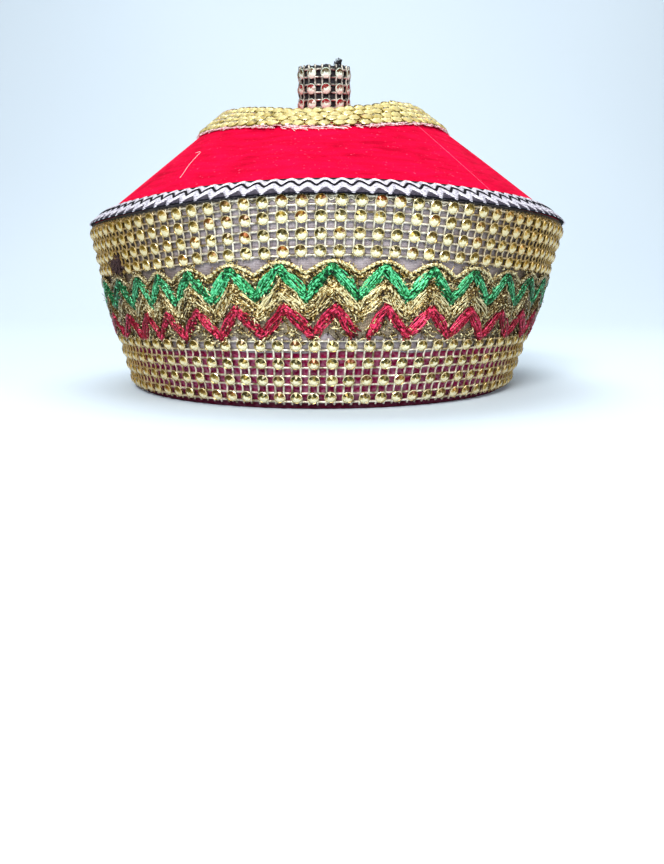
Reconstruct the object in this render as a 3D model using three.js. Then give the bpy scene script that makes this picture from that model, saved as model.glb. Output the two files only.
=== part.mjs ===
// Chief's cap: a flared velvet wall, a sloping velvet shoulder and a flat velvet tip with a short finial.
// The wall carries a backing ribbon, two strips of rhinestone mesh and a lace of metallic zigzags.
// A silver and black braid covers the rim, and a third strip of mesh rings the tip.
// Millimetres, +Z up. The cap stands on its hem at Z = 0, its front faces -Y, and its rim is centred on Z.
import * as THREE from "three";

// Velvet shell, measured on its outer skin
const hemWidth = 171.4;
const hemDepth = 181.6;
const rimWidth = 210;
const rimDepth = 216.6;
const rimHeight = 71.9;
const tipWidth = 87;
const tipDepth = 87;
const tipHeight = 121.6;
const shellThickness = 2;

// How the hand-made shell departs from a true oval cone
const hemShift = -2.7; // sideways offset of the hem under the rim
const tipShift = -2.2; // sideways offset of the tip over the rim
const wallBulge = 1.1; // fullness of the wall half-way up
const rimRise = 5.6; // extra height of the rim at front and back
const tipLean = 5.2; // drop of the tip's front edge, and rise of its back edge

// Gap between pieces that touch on the real cap
const clearance = 0.35;

// Backing ribbon
const ribbonThickness = 0.8;
const ribbonLowerEdge = 21; // up the wall from the hem
const ribbonUpperGap = 2.6; // down the wall from the rim

// Rhinestone mesh, the same goods on the wall, the tip and the finial
const meshThickness = 0.6;
const stoneHeight = 1;
const stoneRadius = 2.15;

// Two strips on the wall: rows of stones, stones round the cap, and the strip's edges as shares of the wall
const lowerStrip = { rows: 4, columns: 81, lowShare: 0.03, highShare: 0.349 };
const upperStrip = { rows: 4, columns: 98, lowShare: 0.698, highShare: 0.977 };

// One strip on the tip: its edge and its reach down the shoulder are shares of the shoulder
const tipStrip = { rows: 4, columns: 70, edgeShare: 0.005, reachShare: 0.206 };
const tipStripFront = { azimuth: 0, spread: 28, moreShare: 0.08 }; // deeper at the front

// Lace between the strips, sewn on by hand
const lacePeriods = 34;
const laceThickness = 2.2;
const laceStart = { azimuth: 1.9 }; // nearest point to the middle of the front
const laceCrowding = { azimuth: -60, spread: 20, shiftShare: 0.7 }; // moves points on by a share of a period

// Braid on the rim
const braidThickness = 1.2;
const braidRidge = 0.7; // how far each silver row stands up
const braidOverhang = 1.6; // past the rim at the sides, over the top of the wall's mesh
const braidDroop = 2; // more overhang at front and back
const braidReach = 8.7; // up the shoulder from the rim

// Finial
const finialShift = -1.3; // sideways offset over the rim
const finialRadius = 12.4; // over the stones
const finialHeight = 20.9;
const finialRows = 3;
const finialColumns = 11;
const finialRowPitch = 6.3;
const finialTopMargin = 1; // height of the core over the mesh
const finialTab = 1.3; // loose corner of black cloth above the core's edge
const finialTabAt = 2; // column of the mesh that the corner stands behind
const finialHollow = 2.5; // depth of the sunk top
const finialFold = 1.4; // thickness of the cloth round the sunk top
const finialSeat = 14.4; // radius of the flat that the finial stands on
const finialFacets = 8; // of each of its stones
const finialTable = 0.5; // width of a stone's flat top, a share of the stone

const shellSteps = 48; // flats round the shell and its plain trims

const meshStack = meshThickness + stoneHeight;
const wallSlope = (rimWidth - hemWidth) / 2;
const wallLength = Math.hypot(rimHeight, wallSlope);
const shoulderLength = Math.hypot(tipHeight - rimHeight, (rimWidth - tipWidth) / 2);

// Soft waves in an edge: where each lies, how far it spreads and how far it lifts the edge
const rimWaves = [
  { name: "front_crest", azimuth: 2, spread: 26, lift: 0.012 * rimHeight },
  { name: "left_hollow", azimuth: -52, spread: 24, lift: -0.017 * rimHeight },
  { name: "right_crest", azimuth: 62, spread: 20, lift: 0.006 * rimHeight },
];
const tipWaves = [
  { name: "front_hollow", azimuth: -4, spread: 24, lift: -0.006 * tipHeight },
  { name: "right_crest", azimuth: 52, spread: 30, lift: 0.02 * tipHeight },
  { name: "left_crest", azimuth: -46, spread: 20, lift: 0.004 * tipHeight },
];

// Sections of the shell's outer skin, from the hem up
const hem = { width: hemWidth, depth: hemDepth, height: 0, shift: hemShift, rise: 0, lean: 0, waves: [] };
const rim = { width: rimWidth, depth: rimDepth, height: rimHeight, shift: 0, rise: rimRise, lean: 0, waves: rimWaves };
const tip = { width: tipWidth, depth: tipDepth, height: tipHeight, shift: tipShift, rise: 0, lean: tipLean };
tip.waves = tipWaves;

// Lace rows, as shares of the lace's height: where the peaks and valleys lie and how wide the row is
// The lag behind the green row is a share of a period
const laceRows = [
  { name: "lace_gold_cord", peak: 0.97, valley: 0.81, width: 0.052, lag: 0, steps: 4, scallop: true },
  { name: "lace_green_zigzag", peak: 0.85, valley: 0.54, width: 0.155, lag: 0, steps: 2, scallop: false },
  { name: "lace_gold_zigzag", peak: 0.62, valley: 0.31, width: 0.15, lag: 0.05, steps: 2, scallop: false },
  { name: "lace_red_zigzag", peak: 0.4, valley: 0.085, width: 0.15, lag: 0.11, steps: 2, scallop: false },
];

// Braid's section, as shares of its width from the rim up, and of the height of its silver rows
const braidSection = [
  { across: 0, under: true, ridge: 0 },
  { across: 0, under: false, ridge: 0 },
  { across: 0.14, under: false, ridge: 0 },
  { across: 0.35, under: false, ridge: 1 },
  { across: 0.57, under: false, ridge: 0 },
  { across: 0.78, under: false, ridge: 1 },
  { across: 1, under: false, ridge: 0 },
  { across: 1, under: true, ridge: 0 },
];

const finishes = {
  velvet: { color: 0xc4062c, roughness: 0.95, metalness: 0 },
  ribbon: { color: 0x978c8e, roughness: 0.9, metalness: 0 },
  mesh: { color: 0xd8b552, roughness: 0.3, metalness: 0.8 },
  gold_lace: { color: 0xb99448, roughness: 0.4, metalness: 0.7 },
  green_lace: { color: 0x0f8a4b, roughness: 0.4, metalness: 0.6 },
  red_lace: { color: 0xb3122f, roughness: 0.4, metalness: 0.6 },
  braid: { color: 0xa9a7ad, roughness: 0.5, metalness: 0.3 },
  black_cloth: { color: 0x16161c, roughness: 0.95, metalness: 0 },
};

// Bell curve round the cap: 1 at an azimuth in degrees, falling off over a spread in degrees
function bell(angle, azimuth, spread) {
  const from = angle - THREE.MathUtils.degToRad(azimuth);
  const away = Math.atan2(Math.sin(from), Math.cos(from));
  return Math.exp(-((away / THREE.MathUtils.degToRad(spread)) ** 2));
}

// Height that the waves add to an edge at an angle round the cap, 0 at the front
function waveLift(waves, angle) {
  let lift = 0;
  for (const wave of waves) {
    lift += wave.lift * bell(angle, wave.azimuth, wave.spread);
  }
  return lift;
}

// Point of a section's outer skin
function edgePoint(section, angle) {
  const around = Math.cos(angle);
  const level = section.height + section.rise * around ** 2 - section.lean * around;
  return new THREE.Vector3(
    section.shift + (section.width / 2) * Math.sin(angle),
    (-section.depth / 2) * around,
    level + waveLift(section.waves, angle),
  );
}

// Level outward direction of an oval section
function levelNormal(section, angle) {
  return new THREE.Vector3(Math.sin(angle) / section.width, -Math.cos(angle) / section.depth, 0).normalize();
}

// Point on the wall: along is millimetres up from the hem, lift is level and outward from the skin
function onWall(along, angle, lift) {
  const share = along / wallLength;
  const low = edgePoint(hem, angle);
  const high = edgePoint(rim, angle);
  const fullness = wallBulge * (1 - Math.abs(2 * share - 1));
  return low.lerp(high, share).addScaledVector(levelNormal(rim, angle), lift + fullness);
}

// Point on the shoulder: along is millimetres up from the rim, lift is square to the skin
function onShoulder(along, angle, lift) {
  const share = along / shoulderLength;
  const low = edgePoint(rim, angle);
  const high = edgePoint(tip, angle);
  const ruling = high.clone().sub(low);
  const outward = levelNormal(rim, angle);
  const tangent = new THREE.Vector3(-outward.y, outward.x, 0);
  const square = tangent.cross(ruling).normalize();
  return low.addScaledVector(ruling, share).addScaledVector(square, lift);
}

// Closed geometry from corner points and faces, turned to face outwards
function solidFrom(points, faces) {
  let volume = 0;
  for (const [a, b, c] of faces) {
    volume += points[a].clone().cross(points[b]).dot(points[c]);
  }
  const outward = volume > 0 ? faces : faces.map(([a, b, c]) => [a, c, b]);
  const geometry = new THREE.BufferGeometry().setFromPoints(points);
  geometry.setIndex(outward.flat());
  geometry.computeVertexNormals();
  return geometry;
}

// Closed band round the cap: pointAt(corner, step) gives each corner of its section at each step
function band(corners, steps, pointAt) {
  const points = [];
  const faces = [];
  for (let step = 0; step < steps; step++) {
    for (let corner = 0; corner < corners; corner++) {
      points.push(pointAt(corner, step));
      const next = (step + 1) % steps;
      const beside = (corner + 1) % corners;
      const [a, b] = [step * corners + corner, step * corners + beside];
      const [c, d] = [next * corners + beside, next * corners + corner];
      faces.push([a, b, c], [a, c, d]);
    }
  }
  return solidFrom(points, faces);
}

// Band with the same section all round, given as [along, lift] corners on a surface
function evenBand(surface, section, steps) {
  return band(section.length, steps, (corner, step) => {
    const [along, lift] = section[corner];
    return surface(along, turn(step, steps), lift);
  });
}

// Solid stacked from rings of the same count, closed by a middle point at each end
function stack(rings, firstMiddle, lastMiddle) {
  const count = rings[0].length;
  const points = [firstMiddle, ...rings.flat(), lastMiddle];
  const last = points.length - 1;
  const faces = [];
  const at = (ring, step) => 1 + ring * count + (step % count);
  for (let step = 0; step < count; step++) {
    faces.push([0, at(0, step + 1), at(0, step)]);
    faces.push([last, at(rings.length - 1, step), at(rings.length - 1, step + 1)]);
    for (let ring = 0; ring < rings.length - 1; ring++) {
      faces.push([at(ring, step), at(ring, step + 1), at(ring + 1, step + 1)]);
      faces.push([at(ring, step), at(ring + 1, step + 1), at(ring + 1, step)]);
    }
  }
  return solidFrom(points, faces);
}

function turn(step, steps) {
  return (step / steps) * 2 * Math.PI;
}

// Strip of mesh as one solid: each stone is a blunt point, or a cut stone with a table if facets are given
function stoneStrip({ surface, edges, columns, innerLift, facets = 0, stoneShape = null }) {
  const points = [];
  const faces = [];
  const add = (along, angle, lift) => points.push(surface(along, angle, lift)) - 1;
  const outerLift = innerLift + meshThickness;
  const grid = edges.map((along) =>
    Array.from({ length: columns }, (_, column) => add(along, turn(column, columns), outerLift)),
  );
  const inside = [edges[0], edges[edges.length - 1]].map((along) =>
    Array.from({ length: columns }, (_, column) => add(along, turn(column, columns), innerLift)),
  );
  const top = edges.length - 1;
  for (let column = 0; column < columns; column++) {
    const next = (column + 1) % columns;
    const quad = (a, b, c, d) => faces.push([a, b, c], [a, c, d]);
    quad(inside[0][column], inside[0][next], grid[0][next], grid[0][column]);
    quad(grid[top][column], grid[top][next], inside[1][next], inside[1][column]);
    quad(inside[1][column], inside[1][next], inside[0][next], inside[0][column]);
    for (let row = 0; row < top; row++) {
      const middle = (edges[row] + edges[row + 1]) / 2;
      const angle = turn(column + 0.5, columns);
      const square = [grid[row][column], grid[row][next], grid[row + 1][next], grid[row + 1][column]];
      if (!facets) {
        const point = add(middle, angle, outerLift + stoneHeight);
        square.forEach((corner, side) => faces.push([corner, square[(side + 1) % 4], point]));
        continue;
      }
      const ring = (radius, lift) =>
        Array.from({ length: facets }, (_, facet) => {
          const around = turn(facet + 0.5, facets);
          const across = (radius * Math.cos(around)) / stoneShape.turnRadius;
          return add(middle + radius * Math.sin(around), angle + across, lift);
        });
      const girdle = ring(stoneRadius, outerLift);
      const table = ring(stoneRadius * stoneShape.tableShare, outerLift + stoneHeight);
      // From the square's corners to the girdle: each side of the square meets a quarter of the stone
      const quarter = facets / 4;
      for (let side = 0; side < 4; side++) {
        const first = (((side * quarter + facets / 2 + quarter / 2) % facets) + facets) % facets;
        const here = square[side];
        const there = square[(side + 1) % 4];
        for (let facet = 0; facet < quarter; facet++) {
          faces.push([here, girdle[(first + facet + 1) % facets], girdle[(first + facet) % facets]]);
        }
        faces.push([here, there, girdle[(first + quarter) % facets]]);
      }
      for (let facet = 0; facet < facets; facet++) {
        const beside = (facet + 1) % facets;
        quad(girdle[facet], girdle[beside], table[beside], table[facet]);
        if (facet > 0 && beside > 0) faces.push([table[0], table[facet], table[beside]]);
      }
    }
  }
  return solidFrom(points, faces);
}

// Evenly spaced edges of the rows of a strip
function stripEdges(low, high, rows) {
  return Array.from({ length: rows + 1 }, (_, row) => low + ((high - low) * row) / rows);
}

const ribbonLift = clearance;
const trimLift = ribbonLift + ribbonThickness + clearance;

function wallVelvet() {
  const top = wallLength - shellThickness - clearance;
  const section = [
    [0, 0],
    [wallLength / 2, 0],
    [top, 0],
    [top, -shellThickness],
    [wallLength / 2, -shellThickness],
    [0, -shellThickness],
  ];
  return evenBand(onWall, section, shellSteps);
}

function wallRibbon() {
  const outer = ribbonLift + ribbonThickness;
  const top = wallLength - ribbonUpperGap;
  const section = [
    [ribbonLowerEdge, ribbonLift],
    [ribbonLowerEdge, outer],
    [wallLength / 2, outer],
    [top, outer],
    [top, ribbonLift],
    [wallLength / 2, ribbonLift],
  ];
  return evenBand(onWall, section, shellSteps);
}

function wallStrip({ rows, columns, lowShare, highShare }) {
  const edges = stripEdges(lowShare * wallLength, highShare * wallLength, rows);
  return stoneStrip({ surface: onWall, edges, columns, innerLift: trimLift });
}

const laceBottom = lowerStrip.highShare * wallLength + clearance;
const laceHeight = upperStrip.lowShare * wallLength - clearance - laceBottom;

// Angle of a place in the lace, counted in periods: even round the cap but for one crowded stretch
function laceAngle(periods) {
  const even = THREE.MathUtils.degToRad(laceStart.azimuth) + turn(periods, lacePeriods);
  const crowded = laceCrowding.shiftShare * bell(even, laceCrowding.azimuth, laceCrowding.spread);
  return even + turn(crowded, lacePeriods);
}

// One row of the lace: its height follows a zigzag or, for the cord, a string of scallops
function laceRow({ peak, valley, width, lag, steps, scallop }) {
  const half = (width * laceHeight) / 2;
  const deep = scallop ? 2 * half : laceThickness;
  const corners = scallop
    ? [[-half, 0], [half, 0], [0, deep]]
    : [[-half, 0], [half, 0], [half, deep], [-half, deep]];
  return band(corners.length, steps * lacePeriods, (corner, step) => {
    const phase = (step % steps) / steps;
    const climb = scallop ? Math.sin(Math.PI * phase) : 1 - Math.abs(2 * phase - 1);
    const along = laceBottom + laceHeight * (valley + (peak - valley) * climb);
    const angle = laceAngle(step / steps - 0.5 + lag);
    return onWall(along + corners[corner][0], angle, trimLift + corners[corner][1]);
  });
}

function shoulderVelvet() {
  const section = [
    [0, 0],
    [shoulderLength, 0],
    [shoulderLength, -shellThickness],
    [0, -shellThickness],
  ];
  return evenBand(onShoulder, section, shellSteps);
}

function rimBraid() {
  const flat = clearance + braidThickness;
  return band(braidSection.length, shellSteps, (corner, step) => {
    const { across, under, ridge } = braidSection[corner];
    const angle = turn(step, shellSteps);
    const overhang = braidOverhang + braidDroop * Math.cos(angle) ** 2;
    const lift = under ? clearance : flat + ridge * braidRidge;
    return onShoulder(across * (overhang + braidReach) - overhang, angle, lift);
  });
}

// The tip's edge follows the shoulder's, inside it by the clearance
function tipVelvet() {
  const edge = (lift) =>
    Array.from({ length: shellSteps }, (_, step) => {
      const angle = turn(step, shellSteps);
      const inward = levelNormal(tip, angle).multiplyScalar(-clearance);
      return onShoulder(shoulderLength, angle, lift).add(inward);
    });
  const under = edge(-shellThickness);
  const over = edge(0);
  const level = (share, drop) =>
    over.map((point) => tipPlane(point.x * share + tipShift * (1 - share), point.y * share, drop));
  const middle = (drop) => tipPlane(tipShift, 0, drop);
  const flatShare = (2 * finialSeat) / tipWidth;
  return stack(
    [level(flatShare, -shellThickness), under, over, level(flatShare, 0)],
    middle(-shellThickness),
    middle(0),
  );
}

// Point of the flat middle of the tip, which leans forward
function tipPlane(x, y, drop) {
  return new THREE.Vector3(x, y, tipHeight + (y * tipLean * 2) / tipDepth + drop);
}

// Point on the tip's strip: share runs from its lower edge, deepest at the front, up to the tip's edge
function onTipStrip(share, angle, lift) {
  const more = tipStripFront.moreShare * bell(angle, tipStripFront.azimuth, tipStripFront.spread);
  const below = tipStrip.edgeShare + (1 - share) * (tipStrip.reachShare + more);
  return onShoulder(shoulderLength * (1 - below), angle, lift);
}

function tipMesh() {
  const edges = stripEdges(0, 1, tipStrip.rows);
  return stoneStrip({ surface: onTipStrip, edges, columns: tipStrip.columns, innerLift: clearance });
}

// Point on the finial in its own frame: along is up its side, lift is outward from the core
const finialCoreRadius = finialRadius - meshStack - clearance;
function onFinial(along, angle, lift) {
  const radius = finialCoreRadius + lift;
  return new THREE.Vector3(radius * Math.sin(angle), -radius * Math.cos(angle), along);
}

function finialMesh() {
  const top = finialHeight - finialTopMargin;
  const edges = stripEdges(top - finialRows * finialRowPitch, top, finialRows);
  const stoneShape = { turnRadius: finialCoreRadius + clearance + meshThickness, tableShare: finialTable };
  return stoneStrip({
    surface: onFinial,
    edges,
    columns: finialColumns,
    innerLift: clearance,
    facets: finialFacets,
    stoneShape,
  });
}

// Black cloth rolled into a short tube with a sunk top and one loose corner
function finialCore() {
  const ring = (radius, height) =>
    Array.from({ length: finialColumns }, (_, step) => {
      const raised = height === finialHeight && step === finialTabAt ? finialTab : 0;
      return onFinial(height + raised, turn(step, finialColumns), radius - finialCoreRadius);
    });
  const inner = finialCoreRadius - finialFold;
  return stack(
    [
      ring(finialCoreRadius, 0),
      ring(finialCoreRadius, finialHeight),
      ring(inner, finialHeight),
      ring(inner, finialHeight - finialHollow),
    ],
    onFinial(0, 0, -finialCoreRadius),
    onFinial(finialHeight - finialHollow, 0, -finialCoreRadius),
  );
}

function piece(name, geometry, finish) {
  const mesh = new THREE.Mesh(geometry, new THREE.MeshStandardMaterial(finishes[finish]));
  mesh.name = name;
  return mesh;
}

const cap = new THREE.Group();
cap.add(
  piece("wall_velvet", wallVelvet(), "velvet"),
  piece("wall_ribbon", wallRibbon(), "ribbon"),
  piece("mesh_lower", wallStrip(lowerStrip), "mesh"),
  piece("mesh_upper", wallStrip(upperStrip), "mesh"),
  piece("shoulder_velvet", shoulderVelvet(), "velvet"),
  piece("rim_braid", rimBraid(), "braid"),
  piece("tip_velvet", tipVelvet(), "velvet"),
  piece("tip_mesh", tipMesh(), "mesh"),
);
const laceFinishes = ["gold_lace", "green_lace", "gold_lace", "red_lace"];
laceRows.forEach((row, index) => cap.add(piece(row.name, laceRow(row), laceFinishes[index])));

// The finial stands square on the leaning tip
const finial = new THREE.Group();
finial.add(piece("finial_core", finialCore(), "black_cloth"), piece("finial_mesh", finialMesh(), "mesh"));
finial.position.set(finialShift, 0, tipHeight + clearance);
finial.rotation.x = Math.atan((2 * tipLean) / tipDepth);
cap.add(finial);

export default cap;
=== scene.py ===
"""A chief's ceremonial cap in red velvet, rhinestone mesh and metallic lace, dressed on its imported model.

Metres, +Z up, the cap's front faces -Y. Angles run round the cap from its front towards +X.
"""
import math

import bpy
import numpy as np
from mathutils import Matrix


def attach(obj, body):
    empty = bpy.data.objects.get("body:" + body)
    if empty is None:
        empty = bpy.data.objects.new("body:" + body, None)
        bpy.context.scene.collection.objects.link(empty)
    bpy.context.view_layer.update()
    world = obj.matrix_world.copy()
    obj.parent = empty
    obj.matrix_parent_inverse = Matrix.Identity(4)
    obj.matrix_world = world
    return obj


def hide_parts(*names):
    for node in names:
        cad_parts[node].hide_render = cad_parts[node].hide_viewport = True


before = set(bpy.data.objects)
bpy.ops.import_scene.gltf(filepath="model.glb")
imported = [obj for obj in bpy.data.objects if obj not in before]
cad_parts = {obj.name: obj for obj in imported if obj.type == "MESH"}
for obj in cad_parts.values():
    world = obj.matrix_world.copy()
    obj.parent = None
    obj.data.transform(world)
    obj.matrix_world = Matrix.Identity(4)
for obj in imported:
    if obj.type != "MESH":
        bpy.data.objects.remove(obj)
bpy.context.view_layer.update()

MM = 0.001

# The view and the studio: a camera at brow height, 0.4 m in front of the cap and tipped slightly down,
# a pale paper sweep that is both floor and backdrop, and large soft lamps.
image_height_px = 864
focal_length_px = 827
camera_place = (2.2 * MM, -400 * MM, 49.8 * MM)
camera_tip = math.radians(10.73)
sweep_width = 2.4
sweep_front = -1.6
sweep_back = 0.45
sweep_radius = 1.1
sweep_top = 2.4
cap_middle = (0, 0, 0.07)
air_strength = 0.26


def linear(hex_colour):
    """An sRGB hex colour as linear red, green, blue and alpha 1."""
    channels = np.array([int(hex_colour[i : i + 2], 16) for i in (1, 3, 5)]) / 255
    bright = ((channels + 0.055) / 1.055) ** 2.4
    return [*np.where(channels > 0.04045, bright, channels / 12.92), 1.0]


def add_node(tree, kind, settings=None, **links):
    """A shader node with its settings, and its inputs by name or index: a value, or another node's output."""
    node = tree.nodes.new(kind)
    for name, value in (settings or {}).items():
        setattr(node, name, value)
    for name, value in links.items():
        socket = node.inputs[int(name[1:])] if name[0] == "_" else node.inputs[name.replace("_", " ")]
        if isinstance(value, bpy.types.NodeSocket):
            tree.links.new(value, socket)
        else:
            socket.default_value = value
    return node


def new_material(name):
    """An empty material: its node tree and its Principled shader."""
    material = bpy.data.materials.new(name)
    material.use_nodes = True
    return material, material.node_tree, material.node_tree.nodes["Principled BSDF"]


def colour_ramp(tree, value, *stops):
    """A colour that follows a value: stops of (position, sRGB hex), from low to high."""
    ramp = add_node(tree, "ShaderNodeValToRGB", Fac=value)
    elements = ramp.color_ramp.elements
    for element, (position, colour) in zip(elements, (stops[0], stops[-1])):
        element.position = position
        element.color = linear(colour)
    for position, colour in stops[1:-1]:
        elements.new(position).color = linear(colour)
    return ramp.outputs["Color"]


def mesh_object(name, points, faces, material, smooth=True):
    """A mesh object from corner points (N, 3) and faces (M, 3 or 4), turned to have a positive volume."""
    points = np.asarray(points, float).reshape(-1, 3)
    faces = np.asarray(faces, int)
    first, second, third = (points[faces[:, corner]] for corner in range(3))
    volume = np.einsum("ij,ij->i", first, np.cross(second, third)).sum()
    if faces.shape[1] == 4:
        fourth = points[faces[:, 3]]
        volume += np.einsum("ij,ij->i", first, np.cross(third, fourth)).sum()
    if volume < 0:
        faces = faces[:, ::-1]
    mesh = bpy.data.meshes.new(name)
    mesh.from_pydata(points, [], faces)
    mesh.polygons.foreach_set("use_smooth", np.full(len(faces), smooth))
    mesh.materials.append(material)
    mesh.update()
    piece = bpy.data.objects.new(name, mesh)
    bpy.context.scene.collection.objects.link(piece)
    return piece


def grid_faces(rows, columns, wrap_rows, wrap_columns):
    """Quads over a grid of points stored row by row; a wrapped side joins its last line to its first."""
    row = np.arange(rows if wrap_rows else rows - 1)[:, None]
    column = np.arange(columns if wrap_columns else columns - 1)[None, :]
    above, beside = (row + 1) % rows, (column + 1) % columns
    corners = [
        row * columns + column, row * columns + beside,
        above * columns + beside, above * columns + column,
    ]
    return np.stack(np.broadcast_arrays(*corners), -1).reshape(-1, 4)


paper, tree, shader = new_material("pale studio paper")
grain = add_node(tree, "ShaderNodeTexNoise", Scale=3, Detail=2)
paper_tone = colour_ramp(tree, grain.outputs["Fac"], (0, "#d3e2ee"), (1, "#dfecf5"))
tree.links.new(paper_tone, shader.inputs["Base Color"])
shader.inputs["Roughness"].default_value = 0.9

bend = np.linspace(0, math.pi / 2, 25)
sweep_y = [[sweep_front], sweep_back + sweep_radius * np.sin(bend), [sweep_back + sweep_radius]]
sweep_z = [[0], sweep_radius * (1 - np.cos(bend)), [sweep_top]]
profile = np.stack([np.concatenate(sweep_y), np.concatenate(sweep_z)], -1)
sides = np.array([-sweep_width / 2, sweep_width / 2])
sweep_points = np.stack(
    [*np.broadcast_arrays(sides[:, None], profile[None, :, 0], profile[None, :, 1])], -1
)
sweep = mesh_object("studio_sweep", sweep_points, grid_faces(2, len(profile), False, False), paper)

camera = bpy.data.objects.new("camera", bpy.data.cameras.new("camera"))
camera.location = camera_place
camera.rotation_euler = (math.pi / 2 - camera_tip, 0, 0)
camera.data.lens = camera.data.sensor_width * focal_length_px / image_height_px
camera.data.clip_start = 0.01
bpy.context.scene.collection.objects.link(camera)
bpy.context.scene.camera = camera


def soft_lamp(name, place, aim, size, power):
    """A square area lamp at place, aimed at a point."""
    lamp = bpy.data.objects.new(name, bpy.data.lights.new(name, "AREA"))
    lamp.data.size = size
    lamp.data.energy = power
    away = np.array(aim, float) - np.array(place, float)
    lamp.location = place
    turn_z = math.atan2(away[0], -away[1])
    lamp.rotation_euler = (math.atan2(math.hypot(away[0], away[1]), -away[2]), 0, turn_z + math.pi)
    bpy.context.scene.collection.objects.link(lamp)


soft_lamp("key_lamp", place=(-0.25, -1.1, 0.75), aim=cap_middle, size=0.45, power=17)
soft_lamp("fill_lamp", place=(1.0, -0.7, 0.5), aim=cap_middle, size=0.6, power=4.5)
soft_lamp("top_lamp", place=(-0.2, 0.1, 1.2), aim=cap_middle, size=0.7, power=4)
soft_lamp("backdrop_lamp", place=(0, 0.3, 1.6), aim=(0, 1.2, 0.5), size=1.2, power=15)
world = bpy.data.worlds.new("studio air")
world.use_nodes = True
world.node_tree.nodes["Background"].inputs["Color"].default_value = linear("#d4dee8")
world.node_tree.nodes["Background"].inputs["Strength"].default_value = air_strength
bpy.context.scene.world = world
bpy.context.scene.view_settings.view_transform = "Standard"

# The side wall: stiffened red pile velvet, cut to flare outwards and closed into an oval band.
# Its lower edge is turned in and shows as a narrow hem below the stones, painted dark with shade and dirt.
# Each edge of the shell waves a little, in (degrees round from the front, spread in degrees, height) humps.
shell_thickness = 2 * MM
clearance = 0.35 * MM
wall_columns = 360
wall_bulge = 1.1 * MM
hem_round = 0.9 * MM
# Heights of the velvet's painted shade: fading and painted shade towards the bottom of the wall, and dark
# painted shade with dirt at the hem.
shade_and_wear_low, shade_and_wear_high = 16 * MM, 50 * MM
shade_and_soil_low, shade_and_soil_high = 2.5 * MM, 6 * MM
hem = dict(width=171.4 * MM, depth=181.6 * MM, height=0, shift=-2.7 * MM, rise=0, lean=0, waves=[])
rim_waves = [(2, 26, 0.86 * MM), (-52, 24, -1.22 * MM), (62, 20, 0.43 * MM)]
rim = dict(
    width=210 * MM, depth=216.6 * MM, height=71.9 * MM, shift=0, rise=5.6 * MM, lean=0, waves=rim_waves
)
tip_waves = [(-4, 24, -0.73 * MM), (52, 30, 2.43 * MM), (-46, 20, 0.49 * MM)]
tip = dict(
    width=87 * MM, depth=87 * MM, height=121.6 * MM, shift=-2.2 * MM, rise=0, lean=5.2 * MM, waves=tip_waves
)
wall_length = math.hypot(rim["height"], (rim["width"] - hem["width"]) / 2)
shoulder_length = math.hypot(tip["height"] - rim["height"], (rim["width"] - tip["width"]) / 2)


def bell(angle, azimuth, spread):
    """1 at an azimuth in degrees, falling off round the cap over a spread in degrees."""
    away = (angle - math.radians(azimuth) + math.pi) % (2 * math.pi) - math.pi
    return np.exp(-((away / math.radians(spread)) ** 2))


def edge(section, angle):
    """An edge of the shell: an ellipse whose height rises with cos squared, leans with cos, and waves."""
    height = section["height"] + section["rise"] * np.cos(angle) ** 2 - section["lean"] * np.cos(angle)
    for azimuth, spread, lift in section["waves"]:
        height = height + lift * bell(angle, azimuth, spread)
    x = section["shift"] + section["width"] / 2 * np.sin(angle)
    return np.stack([x, -section["depth"] / 2 * np.cos(angle), height + 0 * x], -1)


def outward(section, angle):
    """Level unit vector square to a section's ellipse."""
    flat = np.stack([np.sin(angle) / section["width"], -np.cos(angle) / section["depth"], 0 * angle], -1)
    return flat / np.linalg.norm(flat, axis=-1, keepdims=True)


def on_wall(along, angle, lift):
    """Point of the wall: straight lines from hem to rim, made fuller half-way, and lifted level outwards."""
    along, angle, lift = np.broadcast_arrays(along, np.asarray(angle, float), lift)
    share = (along / wall_length)[..., None]
    full = wall_bulge * (1 - np.abs(2 * share[..., 0] - 1))
    straight = edge(hem, angle) * (1 - share) + edge(rim, angle) * share
    return straight + outward(rim, angle) * (lift + full)[..., None]


def on_shoulder(along, angle, lift):
    """Point of the shoulder: straight lines from rim to tip, lifted square to the cone."""
    along, angle, lift = np.broadcast_arrays(along, np.asarray(angle, float), lift)
    low, high = edge(rim, angle), edge(tip, angle)
    level = outward(rim, angle)
    around = np.stack([-level[..., 1], level[..., 0], 0 * level[..., 0]], -1)
    square = np.cross(around, high - low)
    square /= np.linalg.norm(square, axis=-1, keepdims=True)
    return low + (high - low) * (along / shoulder_length)[..., None] + square * lift[..., None]


def turns(count):
    """Evenly spaced angles round the cap."""
    return np.arange(count) * 2 * math.pi / count


def band_piece(name, surface, section, columns, material):
    """A closed band: a section of (along, lift) corners or arrays carried round the cap on a surface."""
    along = np.stack([np.broadcast_to(corner[0], columns) for corner in section])
    lift = np.stack([np.broadcast_to(corner[1], columns) for corner in section])
    points = surface(along, turns(columns)[None, :], lift)
    return mesh_object(name, points, grid_faces(len(section), columns, True, True), material)


def own_place(tree):
    """Where on the cap a point lies, in metres."""
    return add_node(tree, "ShaderNodeTexCoord").outputs["Object"]


def mottle(tree, place, scale, detail, roughness=0.5):
    """Soft uneven noise, mostly around a half."""
    noise = add_node(
        tree, "ShaderNodeTexNoise", Vector=place, Scale=scale, Detail=detail, Roughness=roughness
    )
    return noise.outputs["Fac"]


def worked_out(tree, operation, *values):
    """The result of one step of arithmetic on numbers or outputs of nodes."""
    links = {f"_{index}": value for index, value in enumerate(values)}
    return add_node(tree, "ShaderNodeMath", {"operation": operation}, **links).outputs["Value"]


def stretched(tree, value, low, high, at_low=0.0, at_high=1.0):
    """A value that runs from low to high, carried over to another range and held at both ends."""
    held = add_node(
        tree, "ShaderNodeMapRange", {"clamp": True}, Value=value,
        From_Min=low, From_Max=high, To_Min=at_low, To_Max=at_high,
    )
    return held.outputs["Result"]


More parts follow.
